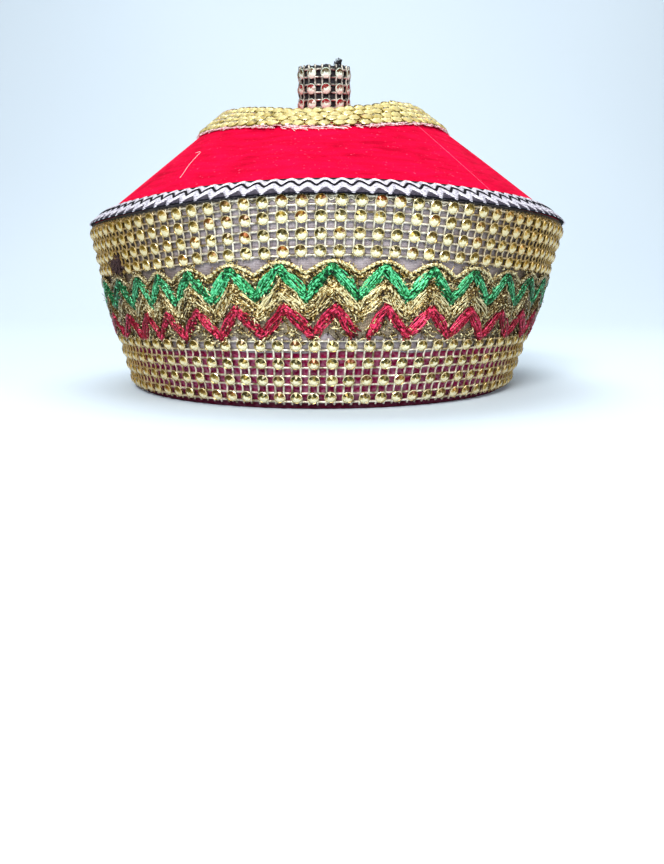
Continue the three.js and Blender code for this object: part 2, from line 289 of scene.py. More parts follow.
def mixed(tree, share, first, second):
    """A colour between two others, each an output of a node or a linear colour."""
    blend = add_node(tree, "ShaderNodeMix", {"data_type": "RGBA"}, Factor=share, _6=first, _7=second)
    return blend.outputs[2]


def relief(tree, shader, height, strength, depth=0.2 * MM):
    """Fine relief on a material, from a height between 0 and 1."""
    bump = add_node(tree, "ShaderNodeBump", Strength=strength, Distance=depth, Height=height)
    tree.links.new(bump.outputs["Normal"], shader.inputs["Normal"])


def velvet_material(name, deep, bright, pile_light):
    """Cotton pile velvet: no gloss, a soft sheen where the pile is seen edge on, lighter brushed strokes of
    painted sheen, and pale lint.

    The lower part turns a duller, mottled purple wine, partly faded with use and partly painted shade, and
    the very hem is painted dark with shade and dirt.
    """
    material, tree, shader = new_material(name)
    place = own_place(tree)
    # Painted sheen: the colour runs lighter and darker in brushed strokes of the pile, from two noises.
    nap = mottle(tree, place, 45, 6, 0.7)
    slant = add_node(tree, "ShaderNodeMapping", Vector=place, Rotation=(0, 0.6, 0), Scale=(45, 45, 330))
    brushed = mottle(tree, slant.outputs["Vector"], 2, 4)
    half = worked_out(tree, "MULTIPLY", worked_out(tree, "ADD", nap, brushed), 0.5)
    tone = colour_ramp(tree, half, (0.33, deep), (0.66, bright))
    specks = mottle(tree, place, 700, 3)
    linty = mixed(tree, stretched(tree, specks, 0.66, 0.74, at_high=0.5), tone, linear(pile_light))
    height = add_node(tree, "ShaderNodeSeparateXYZ", Vector=place).outputs["Z"]
    # Painted shade, with fading from use: the velvet turns a duller purple wine towards the bottom of the
    # wall.
    shade_and_wear = stretched(tree, height, shade_and_wear_low, shade_and_wear_high, at_low=0.85, at_high=0)
    shaded_and_worn = mixed(tree, shade_and_wear, linty, colour_ramp(tree, specks, (0.4, "#861a4a"), (0.62, "#a8708e")))
    # Painted shade, with dirt: the very hem is painted near black-red.
    shade_and_soil = stretched(tree, height, shade_and_soil_low, shade_and_soil_high, at_low=0.85, at_high=0)
    tree.links.new(mixed(tree, shade_and_soil, shaded_and_worn, linear("#33060f")), shader.inputs["Base Color"])
    relief(tree, shader, mottle(tree, place, 1500, 2), 0.35, depth=0.4 * MM)
    shader.inputs["Roughness"].default_value = 0.92
    shader.inputs["Specular IOR Level"].default_value = 0.02
    shader.inputs["Sheen Weight"].default_value = 0.04
    shader.inputs["Sheen Roughness"].default_value = 0.4
    shader.inputs["Sheen Tint"].default_value = linear(pile_light)
    return material


red_velvet = velvet_material("red cotton velvet", "#b00026", "#ea083f", "#ff5a80")
wall_top = wall_length - shell_thickness - clearance
inside_rows = np.linspace(wall_top, hem_round * 2, 8)
outside_rows = np.linspace(hem_round * 2, wall_top, 24)
hem_turn = [
    (hem_round * (1 - math.sin(turn)), -shell_thickness / 2 * (1 + math.cos(turn)))
    for turn in np.linspace(0, math.pi, 9)
]
wall_section = [(row, -shell_thickness) for row in inside_rows] + hem_turn
wall_section += [(row, 0) for row in outside_rows]
wall_velvet = band_piece("velvet_wall", on_wall, wall_section, wall_columns, red_velvet)
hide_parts("wall_velvet")
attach(wall_velvet, "root")

# The backing ribbon: a plain grey-mauve woven ribbon stitched over the wall, seen through the mesh, painted
# brown with shade on the cap's sides.
# It ends between two rows of the lower stones, where the red of the wall takes over.
ribbon_thickness = 0.8 * MM
ribbon_low = 21 * MM
ribbon_top = wall_length - 1.0 * MM
ribbon_slack_below = 30 * MM
ribbon_girth_mm = 640
ribbon_columns = 360
ribbon_waves = [(0.35 * MM, 11, 0), (0.2 * MM, 29, 0)]
thread_spacing_mm = 0.55
# Where the painted shade on the cap's sides begins and is full, across from the middle.
side_start, side_end = 32 * MM, 80 * MM


def waved(waves, angle):
    """Sum of sine waves round the cap, each given by its size, count and start in radians."""
    return sum(size * np.sin(count * angle + start) for size, count, start in waves)


def painted_side_shade(tree, colour, side_colour, most):
    """A colour with painted shade: it turns towards another, darker colour on the cap's left and right, where
    less light reaches.
    """
    across = add_node(tree, "ShaderNodeSeparateXYZ", Vector=own_place(tree)).outputs["X"]
    share = stretched(tree, worked_out(tree, "ABSOLUTE", across), side_start, side_end, at_high=most)
    return mixed(tree, share, colour, linear(side_colour))


def woven_material(name, dark, light, spacing_mm, roughness, strength, side=None):
    """Plain weave: warp and weft threads as two crossing waves round and up the cap, with uneven dye, and
    painted shade towards the side colour on the cap's sides where side is given.
    """
    material, tree, shader = new_material(name)
    place = add_node(tree, "ShaderNodeUVMap", {"uv_map": "cloth_mm"}).outputs["UV"]
    waves = []
    for direction in ("X", "Y"):
        wave = add_node(
            tree, "ShaderNodeTexWave", {"bands_direction": direction},
            Vector=place, Scale=math.pi / 10 / spacing_mm, Distortion=0.6, Detail=1,
        )
        waves.append(wave.outputs["Fac"])
    weave = worked_out(tree, "MULTIPLY", *waves)
    blend = worked_out(tree, "MULTIPLY_ADD", weave, 0.5, mottle(tree, place, 0.25, 4))
    colour = colour_ramp(tree, blend, (0.3, dark), (0.95, light))
    # Painted shade: the cloth turns towards the side colour on the cap's left and right.
    if side is not None:
        colour = painted_side_shade(tree, colour, side, 0.9)
    tree.links.new(colour, shader.inputs["Base Color"])
    relief(tree, shader, weave, strength, depth=0.3 * MM)
    shader.inputs["Roughness"].default_value = roughness
    return material


def cloth_map(piece, rows, columns, round_mm, row_mm):
    """UV map in millimetres of a wrapped grid: across is the way round, up is each row's own distance."""
    corner_column = np.array([0, 1, 1, 0])[None, :] + np.tile(np.arange(columns), rows)[:, None]
    row = np.repeat(np.arange(rows), columns)[:, None] + np.array([0, 0, 1, 1])[None, :]
    up = np.asarray(row_mm, float)[row % rows]
    flat = np.stack([corner_column * round_mm / columns, up], -1)
    layer = piece.data.uv_layers.new(name="cloth_mm")
    order = np.empty(len(piece.data.loops), int)
    piece.data.loops.foreach_get("vertex_index", order)
    if order[0] != grid_faces(rows, columns, True, True)[0, 0]:
        flat = flat[:, ::-1]
    layer.data.foreach_set("uv", flat.reshape(-1))


ribbon_cloth = woven_material(
    "grey-mauve woven ribbon", "#75666a", "#c8bdc0", thread_spacing_mm, 0.85, 0.6, side="#4c380c"
)
around = turns(ribbon_columns)
sag = waved(ribbon_waves, around)
ribbon_rows = np.linspace(ribbon_low, ribbon_top, 16)
ribbon_out = clearance + ribbon_thickness
ribbon_section = [(ribbon_rows[0] + sag, clearance)]
ribbon_section += [(row + sag * (row < ribbon_slack_below), ribbon_out) for row in ribbon_rows]
ribbon_section += [(ribbon_rows[-1], clearance)]
ribbon = band_piece("backing_ribbon", on_wall, ribbon_section, ribbon_columns, ribbon_cloth)
ribbon_up_mm = [ribbon_low / MM - 1, *(ribbon_rows / MM), ribbon_top / MM + 1]
cloth_map(ribbon, len(ribbon_section), ribbon_columns, ribbon_girth_mm, ribbon_up_mm)
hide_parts("wall_ribbon")
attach(ribbon, "root")

# The rhinestone mesh: a gold-coated moulded net of doubled bars, with a foil-backed cut stone in every other
# square. One strip is stretched over the hem and one under the rim, each four stones high and sewn through
# the ribbon. The upper strip has lost three stones on the left.
stone_radius = 2.3 * MM
stone_height = 1.25 * MM
stone_sides = 12
bar_radius = 0.44 * MM
bar_wander = 0.2 * MM
net_lift = clearance + ribbon_out
chance = np.random.default_rng(11)
lower_rows = np.array([4.6, 10.9, 17.1, 23.4]) * MM
upper_rows = np.array([55.4, 60.9, 66.4, 71.4]) * MM
upper_drop = 2.2 * MM
lower_easing = 0.04
lower_columns, lower_first = 81, math.radians(2.9)
upper_columns, upper_first = 98, math.radians(3.0)
wall_net_margin = 0.42
lost_upper = (82, 83, upper_columns + 83)


def upper_fall(angle):
    """How far the upper strip hangs lower away from the front."""
    return upper_drop * (1 - bell(np.asarray(angle), 5, 40))


def on_lower_mesh(along, angle, lift):
    """Point of the lower strip, whose columns are eased closer together towards the sides."""
    return on_wall(along, angle - lower_easing * np.sin(2 * np.asarray(angle)), lift)


def on_upper_mesh(along, angle, lift):
    """Point of the upper strip, sewn close under the braid at the front and hanging lower on the sides."""
    return on_wall(along - upper_fall(angle), angle, lift)


def tubes(name, centre, normal, radius, sides, closed, material, painted_light=None):
    """Tubes round many paths at once: centre (paths, steps, 3), and normal, the way that side 0 faces.

    The shine argument (paths, steps), painted light for each point, is kept on the points for the material
    where given.
    """
    paths, steps = centre.shape[:2]
    ahead = np.roll(centre, -1, 1) - np.roll(centre, 1, 1)
    if not closed:
        ahead = np.gradient(centre, axis=1)
    ahead /= np.linalg.norm(ahead, axis=-1, keepdims=True)
    up = normal - ahead * np.sum(normal * ahead, -1, keepdims=True)
    up /= np.linalg.norm(up, axis=-1, keepdims=True)
    across = np.cross(ahead, up)
    turn = turns(sides)[:, None]
    ring = up[:, :, None] * np.cos(turn) + across[:, :, None] * np.sin(turn)
    points = centre[:, :, None] + radius * ring
    one = grid_faces(steps, sides, closed, True)
    if not closed:
        fan = np.array([[0, k, k + 1, k + 2] for k in range(1, sides - 2, 2)])
        one = np.concatenate([one, fan[:, ::-1], fan + (steps - 1) * sides])
    faces = (one[None] + (np.arange(paths) * steps * sides)[:, None, None]).reshape(-1, 4)
    piece = mesh_object(name, points, faces, material)
    if painted_light is not None:
        layer = piece.data.attributes.new(name="painted_light", type="FLOAT", domain="POINT")
        layer.data.foreach_set("value", np.repeat(np.clip(painted_light, 0, 1).reshape(-1), sides))
    return piece


def laid_tubes(name, surface, along, angle, lift, radius, closed, material, painted_light=None):
    """Four-sided tubes laid on a surface, along paths of places given by along, angle and lift."""
    centre = surface(along, angle, lift)
    normal = surface(along, angle, lift + MM) - centre
    return tubes(name, centre, normal, radius, 4, closed, material, painted_light)


def gold_net_material(name, shade, light, side=None):
    """Vacuum-metallised moulded plastic: a thin bright metal coat, uneven as it left the mould, with painted
    shade on the cap's sides where side is given.
    """
    material, tree, shader = new_material(name)
    coat = mottle(tree, own_place(tree), 420, 3)
    colour = colour_ramp(tree, coat, (0.35, shade), (0.62, light))
    # Painted shade: the net turns towards a darker gold on the cap's left and right.
    if side is not None:
        colour = painted_side_shade(tree, colour, side, 0.85)
    tree.links.new(colour, shader.inputs["Base Color"])
    relief(tree, shader, coat, 0.3)
    shader.inputs["Metallic"].default_value = 0.5
    shader.inputs["Roughness"].default_value = 0.28
    return material


def join(kept, *others):
    """Joins other pieces' meshes into the kept piece."""
    with bpy.context.temp_override(active_object=kept, selected_editable_objects=[kept, *others]):
        bpy.ops.object.join()


def net_piece(name, surface, rows, columns, first, margin, lift, material, radius=bar_radius):
    """The net: two bars round the cap for each row of stones and two up the strip for each column of stones.

    The bars weave over and under each other, and run past the outer rows by a margin, which is a share of
    the gap between rows.
    """
    pitch = 2 * math.pi / columns
    gap = np.diff(rows).mean()
    pair = np.array([-1, 1]) / 4
    row_along = (rows[:, None] + gap * pair).reshape(-1, 1)
    angle = first + turns(columns * 6)[None, :]
    over = np.where(np.arange(len(row_along)) % 2, 1, -1)[:, None]
    weave = bar_wander * np.cos(2 * columns * (angle - first)) * over
    level = laid_tubes(name + "_level", surface, row_along, angle, lift + weave, radius, True, material)
    column_angle = (first + turns(columns)[:, None] + pitch * pair).reshape(-1, 1)
    reach = np.linspace(rows[0] - gap * margin, rows[-1] + gap * margin, 6 * len(rows) + 1)[None, :]
    ripple = -bar_wander * np.cos(4 * math.pi * (reach - rows[0]) / gap)
    upright = laid_tubes(name, surface, reach, column_angle, lift + ripple, radius, False, material)
    join(upright, level)
    return upright


def stone_template(radius, height, sides):
    """One cut stone: rings of (radius, height) for its rim, facets and table, and the painted light of each
    face.

    The tones are painted reflections and shade: the facets towards the top of the strip are painted with the
    dark above, the lower ones with the bright ground, and the stone's wall and groove are painted dark.
    """
    rings = [(1.0, 0.0), (1.0, 0.42), (0.9, 0.6), (0.84, 0.5), (0.42, 1.0)]
    # Painted shade and painted reflections for each part of the stone, from 0 dark to 1 bright.
    wall_shade, rim_light, groove_shade = 0.07, 0.7, 0.21
    dark_facet, side_facet, bright_facet = 0.05, 0.42, 0.95
    dark_table, bright_table = 0.22, 1.0
    dark_within, side_within = math.radians(70), math.radians(100)
    turn = turns(sides) + math.pi / sides
    across, up = radius * np.sin(turn), radius * np.cos(turn)
    points = [np.stack([r * across, r * up, 0 * turn + h * height], -1) for r, h in rings]
    points = np.concatenate([*points, [[0, 0, 0.97 * height]]])
    ahead = np.arange(0, sides, 2)
    top = (len(rings) - 1) * sides
    middle = 0 * ahead + len(points) - 1
    table = np.stack([top + ahead, top + (ahead + 1) % sides, top + (ahead + 2) % sides, middle], -1)
    faces = np.concatenate([grid_faces(len(rings), sides, False, True), table])
    facet_off = np.abs((turn + math.pi / sides + math.pi) % (2 * math.pi) - math.pi)
    facet_painted_light = np.where(facet_off < side_within, side_facet, bright_facet)
    facet_painted_light = np.where(facet_off < dark_within, dark_facet, facet_painted_light)
    table_off = np.abs((turn[ahead] + 2 * math.pi / sides + math.pi) % (2 * math.pi) - math.pi)
    table_painted_light = np.where(table_off < dark_within, dark_table, bright_table)
    plain = np.repeat([wall_shade, rim_light, groove_shade], sides)
    return points, faces, np.concatenate([plain, facet_painted_light, table_painted_light])


def stones_piece(
    name, surface, rows, columns, first, lift, material,
    radius=stone_radius, height=stone_height, missing=(), reflected_red_rows=None, uneven=1.0,
):
    """Cut stones on a surface: one at each row and column, each slightly turned, tipped and shifted.

    Missing holds the numbers of lost stones, and reflected_red_rows how far each row's dark facets take a
    painted red reflection.
    Uneven is how roughly they sit: above 1, every other row is also shifted sideways and the stones lap over
    each other.
    The foil colour keeps each face's painted light and shade in red and its stone's warmth in green, for the
    material.
    """
    row, column = np.meshgrid(np.arange(len(rows)), np.arange(columns), indexing="ij")
    keep = ~np.isin(row * columns + column, list(missing))
    shift = (row[keep] % 2) * (uneven > 1) * math.pi / columns
    along, angle = rows[row[keep]], first + turns(columns)[column[keep]] + shift
    count = len(along)
    small_step, small_turn = 0.3 * MM, 0.003
    centre = surface(along, angle, np.full(count, lift))
    right = surface(along, angle + small_turn, np.full(count, lift)) - centre
    right /= np.linalg.norm(right, axis=-1, keepdims=True)
    up = surface(along + small_step, angle, np.full(count, lift)) - centre
    up -= right * np.sum(up * right, -1, keepdims=True)
    up /= np.linalg.norm(up, axis=-1, keepdims=True)
    out = np.cross(right, up)
    stray = chance.normal(0, 0.1 * MM * uneven, (2, count, 1))
    centre = centre + right * stray[0] + up * stray[1]
    lean_right, lean_up = chance.normal(0, 0.05 * uneven, (2, count, 1))
    spin = chance.normal(0, 0.14, (count, 1))
    right, up = right * np.cos(spin) + up * np.sin(spin), up * np.cos(spin) - right * np.sin(spin)
    out = out + right * lean_right + up * lean_up
    points, faces, tone = stone_template(radius, height, stone_sides)
    placed = centre[:, None] + points[:, :1] * right[:, None] + points[:, 1:2] * up[:, None]
    placed = placed + points[:, 2:] * out[:, None]
    all_faces = (faces[None] + (np.arange(count) * len(points))[:, None, None]).reshape(-1, 4)
    piece = mesh_object(name, placed, all_faces, material, smooth=False)
    warmth = chance.random(count) ** 6
    if reflected_red_rows is not None:
        warmth = np.clip(np.array(reflected_red_rows)[row[keep]] + chance.normal(0, 0.1, count), 0, 1)
    value = tone[None, :] + chance.normal(0, 0.06, (count, len(faces)))
    value = value + np.abs(chance.normal(0, 0.09, (count, 1)))
    value = value + chance.normal(0, 0.08 * (uneven - 1), (count, 1))
    # Painted shade: each stone is darker towards the cap's sides.
    value = value * (1 - 0.3 * np.sin(angle) ** 2)[:, None]
    colour = np.ones((count, len(faces), 4, 4))
    colour[..., 0] = np.clip(value, 0, 1)[..., None]
    colour[..., 1] = warmth[:, None, None]
    layer = piece.data.color_attributes.new(name="foil", type="FLOAT_COLOR", domain="CORNER")
    layer.data.foreach_set("color", colour.reshape(-1))
    return piece


def stone_material(name, dark_cool, dark_warm, middle, bright, mirror=0.6, side=None):
    """Foil-backed acrylic stone: mirror-like facets under a clear glossy coat, each face coloured from the
    painted light and shade kept in the foil colour, with painted shade on the cap's sides where side is
    given.
    """
    material, tree, shader = new_material(name)
    # The foil colour holds each face's painted light and shade in red, and how warm its dark faces are in
    # green.
    foil = add_node(tree, "ShaderNodeAttribute", {"attribute_name": "foil"}).outputs["Color"]
    split = add_node(tree, "ShaderNodeSeparateColor", Color=foil)
    dark = mixed(tree, split.outputs["Green"], linear(dark_cool), linear(dark_warm))
    tone = colour_ramp(tree, split.outputs["Red"], (0.3, middle), (0.85, bright))
    colour = mixed(tree, stretched(tree, split.outputs["Red"], 0.15, 0.5), dark, tone)
    if side is not None:
        colour = painted_side_shade(tree, colour, side, 0.6)
    tree.links.new(colour, shader.inputs["Base Color"])
    shader.inputs["Metallic"].default_value = mirror
    shader.inputs["Roughness"].default_value = 0.26
    shader.inputs["Coat Weight"].default_value = 0.35
    shader.inputs["Coat Roughness"].default_value = 0.08
    return material


# The side colours of the net and the stones are painted shade.
gold_net = gold_net_material("gold-coated net", "#7d6f4c", "#fff7e2", side="#9c7618")
gold_stone = stone_material(
    "foil-backed gold stone", "#3e380a", "#7c3c0a", "#c6a234", "#fff6cc", side="#a47c0c"
)
for level, surface, rows, columns, first, lost in (
    ("lower", on_lower_mesh, lower_rows, lower_columns, lower_first, ()),
    ("upper", on_upper_mesh, upper_rows, upper_columns, upper_first, lost_upper),
):
    lift = net_lift + bar_radius
    net = net_piece("net_" + level, surface, rows, columns, first, wall_net_margin, lift, gold_net)
    stones = stones_piece("stones_" + level, surface, rows, columns, first, lift, gold_stone, missing=lost)
    for piece in (net, stones):
        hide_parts("mesh_" + level)
        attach(piece, "root")

# The upper strip's raw edge, two wavy strands of cut net that show under the braid where the strip hangs low,
# and a dark snag on the left, where stones are lost and brown fluff has caught in the net.
raw_edge_below_rim = 2.0 * MM
raw_edge_gap = 0.8 * MM
raw_edge_radius = 0.34 * MM
raw_edge_fall = 0.25
fluff_count = 260
fluff_azimuth, fluff_height = math.radians(-54), 55 * MM
fluff_spread, fluff_height_spread = math.radians(1.5), 1.7 * MM
fluff_half_mm, fluff_lift_mm = (0.5, 1.5), (-0.2, 1.7)
fluff_radius = 0.2 * MM
edge_angle = turns(upper_columns * 8)[None, :]
edge_up = wall_length - raw_edge_below_rim - raw_edge_fall * upper_fall(edge_angle)
edge_up = edge_up + 0.5 * MM * np.sin(2.5 * upper_columns * edge_angle)
edge_along = np.concatenate([edge_up, edge_up - raw_edge_gap])
raw_edge = laid_tubes(
    "net_raw_edge", on_wall, edge_along, edge_angle, net_lift - 0.1 * MM, raw_edge_radius, True, gold_net
)
fluff_angle = chance.normal(fluff_azimuth, fluff_spread, (fluff_count, 1))
fluff_up = chance.normal(fluff_height, fluff_height_spread, (fluff_count, 1))
reach = np.linspace(-1, 1, 4)[None, :] * chance.uniform(*fluff_half_mm, (fluff_count, 1)) * MM
heading = chance.uniform(0, math.pi, (fluff_count, 1))
angle = fluff_angle + reach * np.cos(heading) * 2 / rim["width"]
along = fluff_up + reach * np.sin(heading)
lift = net_lift + chance.uniform(*fluff_lift_mm, (fluff_count, 1)) * MM + 0 * reach
brown_fluff = woven_material("brown fluff", "#24151a", "#5a3c36", 0.5, 0.95, 0.2)
snag = laid_tubes("net_snag", on_wall, along, angle, lift, fluff_radius, False, brown_fluff)
for piece in (raw_edge, snag):
    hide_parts("mesh_upper")
    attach(piece, "root")

# The lace: bundles of metallic thread sewn in zigzags, in green, gold and red from the top down.
# Each limb of a zigzag is drawn in at both points, and one red limb beside the front has come apart.
lace_count = 34
lace_lift = net_lift + 0.4 * MM
lace_first = math.radians(1.9)
lace_drop = 2.0 * MM
lace_step = 9.45 * MM
lace_bulge = 1.5 * MM
thread_radius = 0.26 * MM
limb_threads, limb_steps = 17, 6
turn_threads, turn_steps = 8, 5
green_peak, green_valley = 50.4 * MM, 40.2 * MM
gold_peak, gold_valley, gold_lag = 43.8 * MM, 34.2 * MM, 0.05
red_peak, red_valley, red_lag = 36.6 * MM, 27.2 * MM, 0.11


def lace_angle(periods):
    """Angle of a place in the lace, counted in periods: even round the cap but crowded on the left."""
    even = lace_first + np.asarray(periods) * 2 * math.pi / lace_count
    return even + 0.7 * 2 * math.pi / lace_count * bell(even, -60, 20)


def lace_fall(angle):
    """How far the lace hangs lower away from the front."""
    return lace_drop * (1 - bell(angle, 5, 36))


def strands(name, phase, along, lift, radius, material, painted_light):
    """Threads on the lace, at places counted in periods and up the wall, lifted from the lace's level."""
    angle = lace_angle(phase)
    fallen = along - lace_fall(angle)
    return laid_tubes(name, on_wall, fallen, angle, lace_lift + lift, radius, False, material, painted_light)


def wander(count, steps, waves):
    """A smooth random drift for each of many threads, about 1 in size."""
    share = np.linspace(0, 1, steps)[None, :]
    drift = 0
    for wave in range(1, waves + 1):
        drift = drift + chance.normal(0, 0.8 / wave, (count, 1)) * np.sin(
            wave * math.pi * share + chance.uniform(0, 2 * math.pi, (count, 1))
        )
    return drift


def zigzag_limbs(name, peak, valley, width, height, loose, lag, gleam, material, torn):
    """The limbs of a zigzag: bundles of threads, domed and thick in the middle and drawn in at both points.

    Each thread keeps its place across the bundle and wanders a little about it. A torn limb ends short of its
    valley with its threads spread, and the next one starts late.
    """
    count = 2 * lace_count * limb_threads
    limb = np.repeat(np.arange(2 * lace_count), limb_threads)[:, None]
    place = np.tile(np.linspace(-1, 1, limb_threads), 2 * lace_count)[:, None]
    place = place + chance.normal(0, 0.06, (count, 1))
    share = np.linspace(-0.08, 1.08, limb_steps)[None, :] + chance.normal(0, 0.03, (count, 1))
    step, spread = share, 0.5
    if torn is not None:
        step = np.where(limb == torn, share * 0.72, step)
        step = np.where(limb == torn + 1, 0.36 + share * 0.64, step)
        spread = 0.5 + 1.5 * (limb == torn) * share
    full = np.sin(math.pi * np.clip(share, 0, 1)) ** 0.8
    limb_size = chance.uniform(0.85, 1.1, 2 * lace_count)[limb]
    across = (place * (0.42 + 0.58 * full) + 0.3 * (share - 0.5)) * limb_size
    across = across + loose * wander(count, limb_steps, 3) * spread
    layer = np.where(np.arange(count) % 2, 0.55, 1.0)[:, None]
    dome = np.sqrt(np.clip(1 - (place * 0.95) ** 2, 0, 1)) * layer * (0.45 + 0.55 * full)
    up = np.clip(dome + 0.2 * loose * wander(count, limb_steps, 3), 0.05, 1.5)
    down = np.where(limb % 2 == 0, 1.0, -1.0)
    length = math.hypot(lace_step, peak - valley)
    phase = (limb + step) / 2 + down * across * width / 2 * (peak - valley) / length / (2 * lace_step)
    start = np.where(limb % 2 == 0, peak, valley)
    along = start - down * (peak - valley) * share + across * width / 2 * lace_step / length
    # Painted light on the limbs: brighter in the middle of each limb, on one edge of the bundle and towards
    # the front, with a painted gleam for each colour and limb.
    lit = 0.35 + 0.65 * bell(lace_angle(limb / 2), 5, 42)
    limb_gleam = gleam + chance.normal(0, 0.16, 2 * lace_count)[limb]
    painted_light = (0.1 + 0.8 * full) * (0.6 + 0.4 * place) * lit + limb_gleam + chance.normal(0, 0.22, (count, 1))
    return strands(name, phase + lag, along, up * height, thread_radius, material, painted_light)


def zigzag_points(name, peak, valley, width, height, lag, material, torn):
    """The few threads that turn over each point of a zigzag, with bends rounded like a hyperbola."""
    limbs = np.arange(2 * lace_count)
    if torn is not None:
        limbs = limbs[limbs != torn + 1]
    corner = np.repeat(limbs, turn_threads)[:, None]
    order = np.arange(len(corner))[:, None] % turn_threads / (turn_threads - 1)
    reach = np.linspace(-0.3, 0.3, turn_steps)[None, :]
    sign = np.where(corner % 2 == 0, 1.0, -1.0)
    point = np.where(corner % 2 == 0, peak, valley)
    bend = (np.sqrt(reach**2 + 0.16**2) - 0.16) * 1.15
    along = point - sign * (peak - valley) * bend + sign * (order - 0.55) * width * 0.5
    lift = height * (0.6 + 0.4 * np.sin(math.pi * order) + 0.12 * wander(len(corner), turn_steps, 2))
    # Painted shade on the points: their threads are painted mostly dark, a few lighter at random.
    painted_light = np.full(along.shape, 0.05) + chance.random((len(corner), 1)) ** 2 * 0.7
    return strands(name, corner / 2 + reach / 2 + lag, along, lift, thread_radius, material, painted_light)


def metallic_thread_material(name, dark, middle, light, side, roughness):
    """Lurex: thread wrapped in a coloured metal film. Its colour follows painted light: the shine attribute,
    painted flashes of light and dark along every strand, painted white glints, and painted shade on the cap's
    sides.
    """
    material, tree, shader = new_material(name)
    painted_light = add_node(tree, "ShaderNodeAttribute", {"attribute_name": "painted_light"}).outputs["Fac"]
    glint = mottle(tree, own_place(tree), 1100, 2, 0.7)
    # Painted flashes of light and dark along the strands.
    swing = stretched(tree, glint, 0.32, 0.68, at_low=-0.7, at_high=0.7)
    lit = worked_out(tree, "ADD", painted_light, swing)
    tone = colour_ramp(tree, lit, (0.05, dark), (0.45, middle), (0.9, light))
    # Painted glints: near-white sparks where the noise is high.
    spark = stretched(tree, glint, 0.59, 0.65)
    colour = mixed(tree, spark, painted_side_shade(tree, tone, side, 0.75), linear(light))
    tree.links.new(colour, shader.inputs["Base Color"])
    relief(tree, shader, glint, 0.5)
    shader.inputs["Metallic"].default_value = 0.4
    shader.inputs["Roughness"].default_value = roughness
    return material


# The side colours of the threads are painted shade.
green_thread = metallic_thread_material(
    "green metallic thread", "#012a10", "#0b9342", "#7cf6b4", side="#033c14", roughness=0.3
)
gold_thread = metallic_thread_material(
    "gold metallic thread", "#2a1c06", "#a88228", "#fff4c0", side="#4a3408", roughness=0.25
)
red_thread = metallic_thread_material(
    "red metallic thread", "#4a000c", "#c4082c", "#ff4e7c", side="#7c0418", roughness=0.32
)
# Gleam is a painted highlight added to each colour's threads.
for colour, peak, valley, width, loose, lag, gleam, material, torn in (
    ("green", green_peak, green_valley, 4.2 * MM, 0.5, 0.0, 0.24, green_thread, None),
    ("gold", gold_peak, gold_valley, 4.8 * MM, 1.0, gold_lag, 0.35, gold_thread, None),
    ("red", red_peak, red_valley, 3.9 * MM, 0.6, red_lag, 0.06, red_thread, 0),
):
    name = "lace_" + colour
    zigzag = zigzag_limbs(name, peak, valley, width, lace_bulge, loose, lag, gleam, material, torn)
    join(zigzag, zigzag_points(name + "_points", peak, valley, width, lace_bulge, lag, material, torn))
    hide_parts(name + "_zigzag")
    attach(zigzag, "root")

# The lace's ground: a strip of coarse metallic gauze under the zigzags, partly the lace's own backing and
# partly a darker sheet standing in for shade under the tinsel. It is beige at the front and turns brown-gold
# at the sides with painted shade.
# Its two edges are uneven, and it is stitched straight on the ribbon.
gauze_columns = 720
gauze_low_mm, gauze_high_mm = 26.5, 48.2
gauze_girth_mm = 620
gauze_lift, gauze_thickness = 0.02 * MM, 0.14 * MM
gauze_waves = [(0.9 * MM, 2 * lace_count, 0), (0.5 * MM, 83, 0)]
gauze_angle = turns(gauze_columns)
gauze_edge = waved(gauze_waves, gauze_angle) - lace_fall(gauze_angle)
gauze_under = ribbon_out + gauze_lift
gauze_section = [(gauze_low_mm * MM + gauze_edge, gauze_under)]
gauze_rows_mm = np.linspace(gauze_low_mm, gauze_high_mm, 7)
gauze_section += [(row_mm * MM + gauze_edge, gauze_under + gauze_thickness) for row_mm in gauze_rows_mm]
gauze_section += [(gauze_high_mm * MM + gauze_edge, gauze_under)]
# Painted shade: the gauze turns brown-gold towards the side colour on the cap's sides.
gauze_cloth = woven_material("metallic gauze", "#64543c", "#b8a68c", 0.9, 0.7, 0.8, side="#4e390e")
gauze = band_piece("lace_ground", on_wall, gauze_section, gauze_columns, gauze_cloth)
cloth_map(gauze, len(gauze_section), gauze_columns, gauze_girth_mm, np.linspace(25, 49, len(gauze_section)))
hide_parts("lace_gold_zigzag")
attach(gauze, "root")

# Gold tinsel: short curled snips of the same film that the lace throws out between its zigzags and, mostly on
# the sides, above the scallops. Most snips that would lie on a zigzag are pushed beside it.
# A few long ends stand off the lace.
snips = 7300
snip_steps = 3
snip_radius = 0.25 * MM
snip_half_mm, snip_lift_mm = (0.5, 1.8), (-0.55, 0.9)
cleared_front, cleared_less_aside = 0.9, 0.4
strays_front, strays_more_aside = 0.05, 0.17
stray_height_mm = (0.3, 3.4)
scallop_low, scallop_rise = 45.8 * MM, 4.4 * MM
tinsel_low, tinsel_dip = 24.9 * MM, 2.2 * MM
zigzag_half_widths = dict(gold=1.9 * MM, green=2.1 * MM, red=2.0 * MM)
ends = 90
end_steps = 6
end_radius = 0.1 * MM
end_length_mm, end_height_mm, end_lift_mm = (2, 6), (29, 46), (1.5, 3.5)
middle = chance.uniform(0, lace_count, (snips, 1))
scallop = scallop_low + scallop_rise * np.abs(np.cos(math.pi * middle)) ** 0.8
low_edge = tinsel_low + tinsel_dip * (0.5 + 0.5 * np.cos(2 * math.pi * (middle - gold_lag)))
snip_up = low_edge + (scallop - low_edge) * chance.random((snips, 1))
limb_share = np.abs((middle * 2) % 2 - 1)
gold_share = np.abs(((middle - gold_lag) * 2) % 2 - 1)
